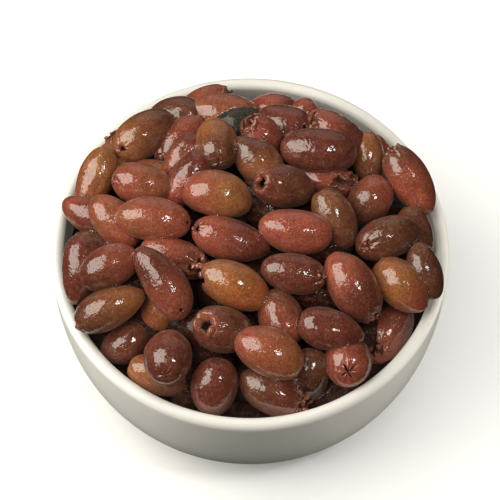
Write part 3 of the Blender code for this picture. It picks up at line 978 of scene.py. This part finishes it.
class DISH_OT_bowl(bpy.types.Operator):
    """Turn the glazed bowl, in the place of its solid"""

    bl_idname = "dish.bowl"
    bl_label = "Bowl"

    def execute(self, context):
        settings = context.scene.dish_bowl
        inner_radius, inner_height = wall_line(WALL, 60)
        outer_radius, outer_height = wall_line(0.0, 80)
        lip_radius, lip_height = lip(15)
        # The profile runs from the middle of the inner floor, over the lip and down to
        # the foot ring, round it, and in to the middle of the recess underneath
        above_foot = outer_radius > FOOT_RADIUS
        foot_top = outer_height[-1]
        recess = -RIM_HEIGHT + settings.foot_recess
        floor = np.linspace(0.04, 0.96, 16) * inner_radius[-1]
        radius = np.concatenate([
            floor, inner_radius[::-1], lip_radius, outer_radius[above_foot],
            [FOOT_RADIUS + 0.4 * MM, FOOT_RADIUS, FOOT_RADIUS - 0.15 * MM],
            FOOT_RADIUS - np.array([0.5, 0.8, 1.0, 1.4]) * FOOT_INSET,
            FOOT_RADIUS - np.array([3.4, 3.8, 4.0, 4.4, 5.2]) * MM,
            np.linspace(0.8, 0.04, 12) * FOOT_RADIUS,
        ])
        height = np.concatenate([
            np.full(16, inner_height[-1]), inner_height[::-1], lip_height,
            outer_height[above_foot],
            [foot_top, foot_top - 0.15 * MM, foot_top - 0.6 * MM],
            -RIM_HEIGHT + np.array([1.1, 0.5, 0.12, 0.0]) * MM,
            [-RIM_HEIGHT, -RIM_HEIGHT + 0.1 * MM, recess - 0.3 * MM, recess - 0.05 * MM, recess],
            np.full(12, recess),
        ]) + RIM_HEIGHT
        turn = np.linspace(0, 2 * np.pi, settings.sides, endpoint=False)
        # The potter's hand: each ring is a hair out of round, by a tenth of a millimetre
        wander = 1 - 0.0012 * (0.5 + 0.5 * np.sin(2 * turn + 40 * height[:, None] + 1.0))
        piece = new_piece(
            "glazed_bowl", *turned(radius[:, None] * wander, height, -turn),
            glazed_stoneware(settings), "glazed_stoneware", "bowl",
        )
        on_ring = (height < 1.0 * MM) & (radius > FOOT_RADIUS - 4.1 * MM)
        bare = np.repeat(on_ring, settings.sides)
        write_attribute(piece, "bare", "FLOAT", np.append(bare, [0, 0]))
        return {"FINISHED"}


class DISH_OT_olives(bpy.types.Operator):
    """Lay out the olives that show, one piece for each tone of skin"""

    bl_idname = "dish.olives"
    bl_label = "Olives"

    def execute(self, context):
        settings = context.scene.dish_olives
        beads, _, axis, length, width = settled(OLIVES)
        middle = beads[:, BEADS // 2]
        skin = brined_skin("brined olive skin", 1.0)
        deep_skin = brined_skin("brined olive skin, deep in the heap", 0.35)
        rings = settings.rows - 1 + PIT_RINGS
        edges, outward, torn_sizes = [], [], []
        pieces = np.array([PIECE_OF_TONE[olive.tone] for olive in OLIVES])
        for name in sorted(set(pieces)):
            rng = np.random.default_rng([settings.seed, len(name), ord(name[0])])
            mine = np.flatnonzero(pieces == name)
            rows = [OLIVES[i] for i in mine]
            size, lean, tip, taper = np.array([olive[9:] for olive in rows], float).T
            world, local, along, pit = olive_surface(
                axis[mine], middle[mine], length[mine] * GROWN, width[mine] * GROWN,
                [olive.end for olive in rows], size * MM, lean, tip * MM, taper,
                settings.rows, settings.columns, rng,
            )
            last_ring = (settings.rows - 2) * settings.columns
            for olive, points, centre in zip(rows, world, middle[mine]):
                for _ in range(SHREDS.get(olive.end, 0)):
                    edges.append(points[last_ring:last_ring + settings.columns])
                    outward.append(edges[-1].mean(0) - centre)
                    torn_sizes.append(olive.size * MM)
            tints = skin_colours(
                [olive.tone for olive in rows],
                [olive.far_tone or olive.tone for olive in rows],
                along, pit, local, settings, rng,
            )
            quads, fans = ring_faces(len(mine), rings, settings.columns)
            piece = new_piece(
                name, world.reshape(-1, 3), quads, fans,
                deep_skin if name == "dark_olives" else skin, "olive_skin", "olives",
            )
            shift = mine[:, None, None] * np.array([31.0, 17.0, 23.0]) * MM
            write_attribute(piece, "tone", "FLOAT_COLOR", tints)
            write_attribute(piece, "grain", "FLOAT_VECTOR", local + shift)
        torn_flesh(np.array(edges), np.array(outward), np.array(torn_sizes), skin, settings)
        return {"FINISHED"}


class DISH_OT_bed(bpy.types.Operator):
    """Fill the bowl under the olives that show, with a bed of more olives on a dark core"""

    bl_idname = "dish.bed"
    bl_label = "Bed and core"

    def execute(self, context):
        settings = context.scene.dish_olives
        rng = np.random.default_rng(settings.seed + 1)
        middle, axis, length, width = bed()
        zero = np.zeros(BED_COUNT)
        world = olive_surface(
            axis, middle, length, width, ["shut"] * BED_COUNT, zero + 1.0 * MM, zero,
            zero + 0.3 * MM, zero, BED_ROWS, BED_COLUMNS, rng,
        )[0]
        quads, fans = ring_faces(BED_COUNT, BED_ROWS - 1 + PIT_RINGS, BED_COLUMNS)
        # The bed and the core are nearly black: a painted shade under the heap
        dark = painted_shade_depths()
        new_piece("bed_olives", world.reshape(-1, 3), quads, fans, dark, "olive_skin", "olives")

        radius, height = wall_line(WALL + CORE_GAP, CORE_ROWS)
        edge = radius[0]
        cap_radius = np.linspace(edge, 0.02 * edge, CORE_ROWS)
        top = DOME_TOP - DOME_RADIUS - CORE_DROP
        cap_height = top + np.sqrt(DOME_RADIUS**2 - cap_radius**2)
        below = height < cap_height[0] - 1 * MM
        inner = np.linspace(0.05, 0.9, 6) * radius[-1]
        radius = np.concatenate([inner, radius[below][::-1], cap_radius])
        height = np.concatenate([np.full(6, height[-1]), height[below][::-1], cap_height])
        turn = np.linspace(0, 2 * np.pi, CORE_SIDES, endpoint=False)
        new_piece(
            "brine_core", *turned(radius[:, None], height + RIM_HEIGHT, turn),
            dark, "olive_skin", "olives",
        )
        return {"FINISHED"}


def clinging(beads, radii, bead, rng):
    """Lines of points in the creases where two olives touch, and which way each runs.

    The closest beads of a pair give the contact.  An arc is drawn round it on the side
    that faces up and to the eye, and each point of it is moved until it is as far from
    one olive as from the other."""
    count = len(beads)
    first, second = np.triu_indices(count, 1)
    spread = beads[second][:, None] - beads[first][:, :, None]
    gaps = np.linalg.norm(spread, axis=-1) - radii[first][:, :, None] - radii[second][:, None]
    flat = gaps.reshape(len(first), -1)
    best = flat.argmin(1)
    gap = flat[np.arange(len(first)), best]
    close = gap < TOUCHING
    first, second, best, gap = first[close], second[close], best[close], gap[close]
    a, b = best // BEADS, best % BEADS
    start, end = beads[first, a], beads[second, b]
    ra, rb = radii[first, a], radii[second, b]
    across = unit(end - start)
    middle = start + across * (ra + gap / 2)[:, None]
    wanted = TOWARD + rng.normal(0, CREASE_WANDER, middle.shape)
    out = unit(wanted - (wanted * across).sum(-1, keepdims=True) * across)
    side = np.cross(across, out)
    mean_radius = 2 * ra * rb / (ra + rb)
    reach = np.sqrt(np.maximum(-gap, 0) * mean_radius + 1.1 * bead * mean_radius)
    sweep = rng.uniform(0.25, 0.75, len(gap))[:, None] * np.linspace(-1, 1, CREASE_POINTS)
    points = middle[:, None] + reach[:, None, None] * (
        np.cos(sweep)[..., None] * out[:, None] + np.sin(sweep)[..., None] * side[:, None]
    )
    for _ in range(CREASE_ROUNDS):
        # How deep each point is under each of the two skins, and which way is out of it
        sides = []
        for which in (first, second):
            away = points[:, :, None] - beads[which][:, None]
            far = np.linalg.norm(away, axis=-1)
            depth = far - radii[which][:, None]
            nearest = depth.argmin(-1)[..., None]
            depth = np.take_along_axis(depth, nearest, -1)[..., 0]
            away = np.take_along_axis(away, nearest[..., None], 2)[:, :, 0]
            sides.append((depth - 0.4 * bead - SWELL, unit(away)))
        # One move along both ways out brings both depths to nothing.  It stays finite
        # where the two ways are nearly the same.
        (da, na), (db, nb) = sides
        alike = (na * nb).sum(-1)
        share = 1 / (1.06 - alike**2)
        step = (alike * db - da) * share
        other = (alike * da - db) * share
        move = step[..., None] * na + other[..., None] * nb
        points = points + np.clip(0.6 * move, -0.4 * MM, 0.4 * MM)
    return points


class DISH_OT_brine(bpy.types.Operator):
    """Let brine cling in the creases between the olives"""

    bl_idname = "dish.brine"
    bl_label = "Brine"

    def execute(self, context):
        settings = context.scene.dish_brine
        rng = np.random.default_rng(BRINE_SEED)
        beads, radii = settled(OLIVES)[:2]
        lines = clinging(beads, radii, settings.bead, rng)
        count, steps = lines.shape[:2]
        along = unit(np.gradient(lines, axis=1))
        side = unit(np.cross(along, TOWARD + 0 * along))
        up = np.cross(side, along)
        spin = np.linspace(0, 2 * np.pi, CREASE_SIDES, endpoint=False)
        x = np.linspace(-1, 1, steps)[None]
        # The line thins out at both ends, and gathers into a few beads along it
        thick = settings.bead * np.sqrt(1.02 - x**2) * rng.uniform(0.45, 1.0, (count, 1))
        thick = thick * (1 + 0.55 * np.sin(11 * x + rng.uniform(0, 6, (count, 1))))
        ring = (
            np.cos(spin)[None, None, :, None] * up[:, :, None]
            - np.sin(spin)[None, None, :, None] * side[:, :, None]
        )
        tubes = (lines[:, :, None] + thick[..., None, None] * ring).reshape(count, -1, 3)
        bodies = np.concatenate([tubes, lines[:, [0, -1]]], 1)
        quads, fans = ring_faces(count, steps, CREASE_SIDES)
        new_piece(
            "clinging_brine", bodies.reshape(-1, 3), quads, fans, brine_film(settings), None, None
        )
        return {"FINISHED"}


def add_light(name, direction, distance, size, power, tint):
    """A square light that faces the heap from that direction."""
    data = bpy.data.lights.new(name, "AREA")
    data.shape = "SQUARE"
    data.size = size
    data.energy = power
    data.color = tint
    lamp = bpy.data.objects.new(name, data)
    aim = Vector((0, 0, RIM_HEIGHT))
    away = Vector(direction).normalized()
    turn = away.to_track_quat("Z", "Y").to_matrix().to_4x4()
    lamp.matrix_world = Matrix.Translation(aim + away * distance) @ turn
    lamp.visible_camera = False
    bpy.context.scene.collection.objects.link(lamp)
    return lamp


class DISH_OT_stage(bpy.types.Operator):
    """Set up the pale floor, the studio lights and the camera"""

    bl_idname = "dish.stage"
    bl_label = "Stage"

    def execute(self, context):
        settings = context.scene.dish_stage
        scene = context.scene
        half = FLOOR_HALF
        mesh = bpy.data.meshes.new("floor")
        mesh.from_pydata(
            [(-half, -half, 0), (half, -half, 0), (half, half, 0), (-half, half, 0)],
            [], [(0, 1, 2, 3)],
        )
        mesh.materials.append(matte_floor(settings))
        floor = bpy.data.objects.new("floor", mesh)
        floor.visible_diffuse = False
        floor.visible_glossy = False
        scene.collection.objects.link(floor)

        bowl = bpy.data.objects["glazed_bowl"]
        groups = {}
        for name, one in (("bowl alone", bowl), ("all but the bowl", bowl), ("floor alone", floor)):
            groups[name] = bpy.data.collections.new(name)
            groups[name].objects.link(one)
        left_out = groups["all but the bowl"].collection_objects[0]
        left_out.light_linking.link_state = "EXCLUDE"
        for name, direction, distance, size, tint, lit, mirrored in LIGHTS:
            if name == "bowl softbox":
                strength = BOWL_SOFTBOX_SHARE * settings.softbox
            else:
                strength = getattr(settings, name)
            light = add_light(name, direction, distance, size, strength, tint)
            light.visible_glossy = mirrored
            light.light_linking.receiver_collection = groups.get(lit)
            if name in PAST_THE_HEAP:
                light.light_linking.blocker_collection = groups["bowl alone"]

        world = bpy.data.worlds.new("studio")
        scene.world = world
        world.cycles_visibility.glossy = False
        world.use_nodes = True
        tree = world.node_tree
        tree.nodes.clear()
        look = add_node(tree, "ShaderNodeTexCoord").outputs["Generated"]
        split = add_node(tree, "ShaderNodeSeparateXYZ", {}, {0: look})
        level = add_node(
            tree, "ShaderNodeMapRange", {"interpolation_type": "SMOOTHSTEP"},
            {"Value": split.outputs["Z"], "From Min": -0.15, "From Max": 0.25,
             "To Min": GLOW_BELOW, "To Max": GLOW_ABOVE},
        )
        glow = add_node(
            tree, "ShaderNodeBackground", {},
            {"Color": linear("#F6F2EC"), "Strength": level.outputs[0]},
        )
        add_node(tree, "ShaderNodeOutputWorld", {}, {"Surface": glow.outputs[0]})

        data = bpy.data.cameras.new("camera")
        data.sensor_width = 36.0
        data.lens = LENS
        data.shift_x, data.shift_y = LENS_SHIFT
        data.clip_start = 0.01
        data.clip_end = 20.0
        camera = bpy.data.objects.new("camera", data)
        stand = np.array([0, 0, RIM_HEIGHT]) + SIGHT_RANGE * TOWARD
        columns = np.stack([ACROSS, UP, TOWARD, stand], -1)
        camera.matrix_world = Matrix([*columns.tolist(), [0, 0, 0, 1]])
        scene.collection.objects.link(camera)
        scene.camera = camera
        scene.view_settings.view_transform = "Standard"
        return {"FINISHED"}


class DISH_PT_panel(bpy.types.Panel):
    """The dish's pieces, each with its settings"""

    bl_idname = "DISH_PT_panel"
    bl_label = "Dish of olives"
    bl_space_type = "VIEW_3D"
    bl_region_type = "UI"
    bl_category = "Olives"

    def draw(self, context):
        scene = context.scene
        groups = (
            (scene.dish_bowl, ["dish.bowl"]),
            (scene.dish_olives, ["dish.olives", "dish.bed"]),
            (scene.dish_brine, ["dish.brine"]),
            (scene.dish_stage, ["dish.stage"]),
        )
        for group, operators in groups:
            box = self.layout.box()
            for name in group.__annotations__:
                box.prop(group, name)
            for operator in operators:
                box.operator(operator)


CLASSES = (
    BowlSettings, OliveSettings, BrineSettings, StageSettings,
    DISH_OT_bowl, DISH_OT_olives, DISH_OT_bed, DISH_OT_brine, DISH_OT_stage, DISH_PT_panel,
)
SETTINGS = {
    "dish_bowl": BowlSettings, "dish_olives": OliveSettings,
    "dish_brine": BrineSettings, "dish_stage": StageSettings,
}


def register():
    for one in CLASSES:
        bpy.utils.register_class(one)
    for name, group in SETTINGS.items():
        setattr(bpy.types.Scene, name, PointerProperty(type=group))


def unregister():
    for name in SETTINGS:
        delattr(bpy.types.Scene, name)
    for one in reversed(CLASSES):
        bpy.utils.unregister_class(one)


def main():
    register()
    bpy.ops.dish.bowl()
    bpy.ops.dish.olives()
    bpy.ops.dish.bed()
    bpy.ops.dish.brine()
    bpy.ops.dish.stage()


if __name__ == "__main__":
    main()
